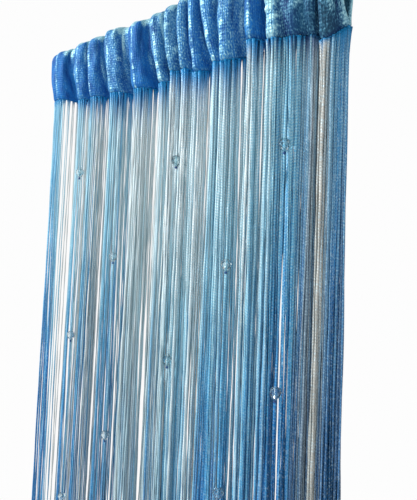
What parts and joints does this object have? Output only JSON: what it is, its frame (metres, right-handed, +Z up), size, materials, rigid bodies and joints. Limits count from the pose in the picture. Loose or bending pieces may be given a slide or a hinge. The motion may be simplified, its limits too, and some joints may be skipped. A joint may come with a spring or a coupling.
{
  "type": "bead curtain",
  "caption": "String curtain with a gathered rod-pocket heading of woven lurex and a fall of fine lurex strings threaded with clear faceted beads.",
  "frame": {"origin": "middle of the rod pocket's top edge, straight above the rod's axis", "axes": "+X along the rod to the right as seen from the front, +Y to the back (the front faces -Y), +Z up"},
  "size_m": [0.5074, 0.0383, 1.9983],
  "materials": {
    "heading_band": "woven band with lurex, satin glitter",
    "lurex_yarn": "fine twisted lurex yarn, glittering"
  },
  "bodies": {
    "root": {"heading": "heading_band", "string_fall": "lurex_yarn"}
  },
  "joints": []
}
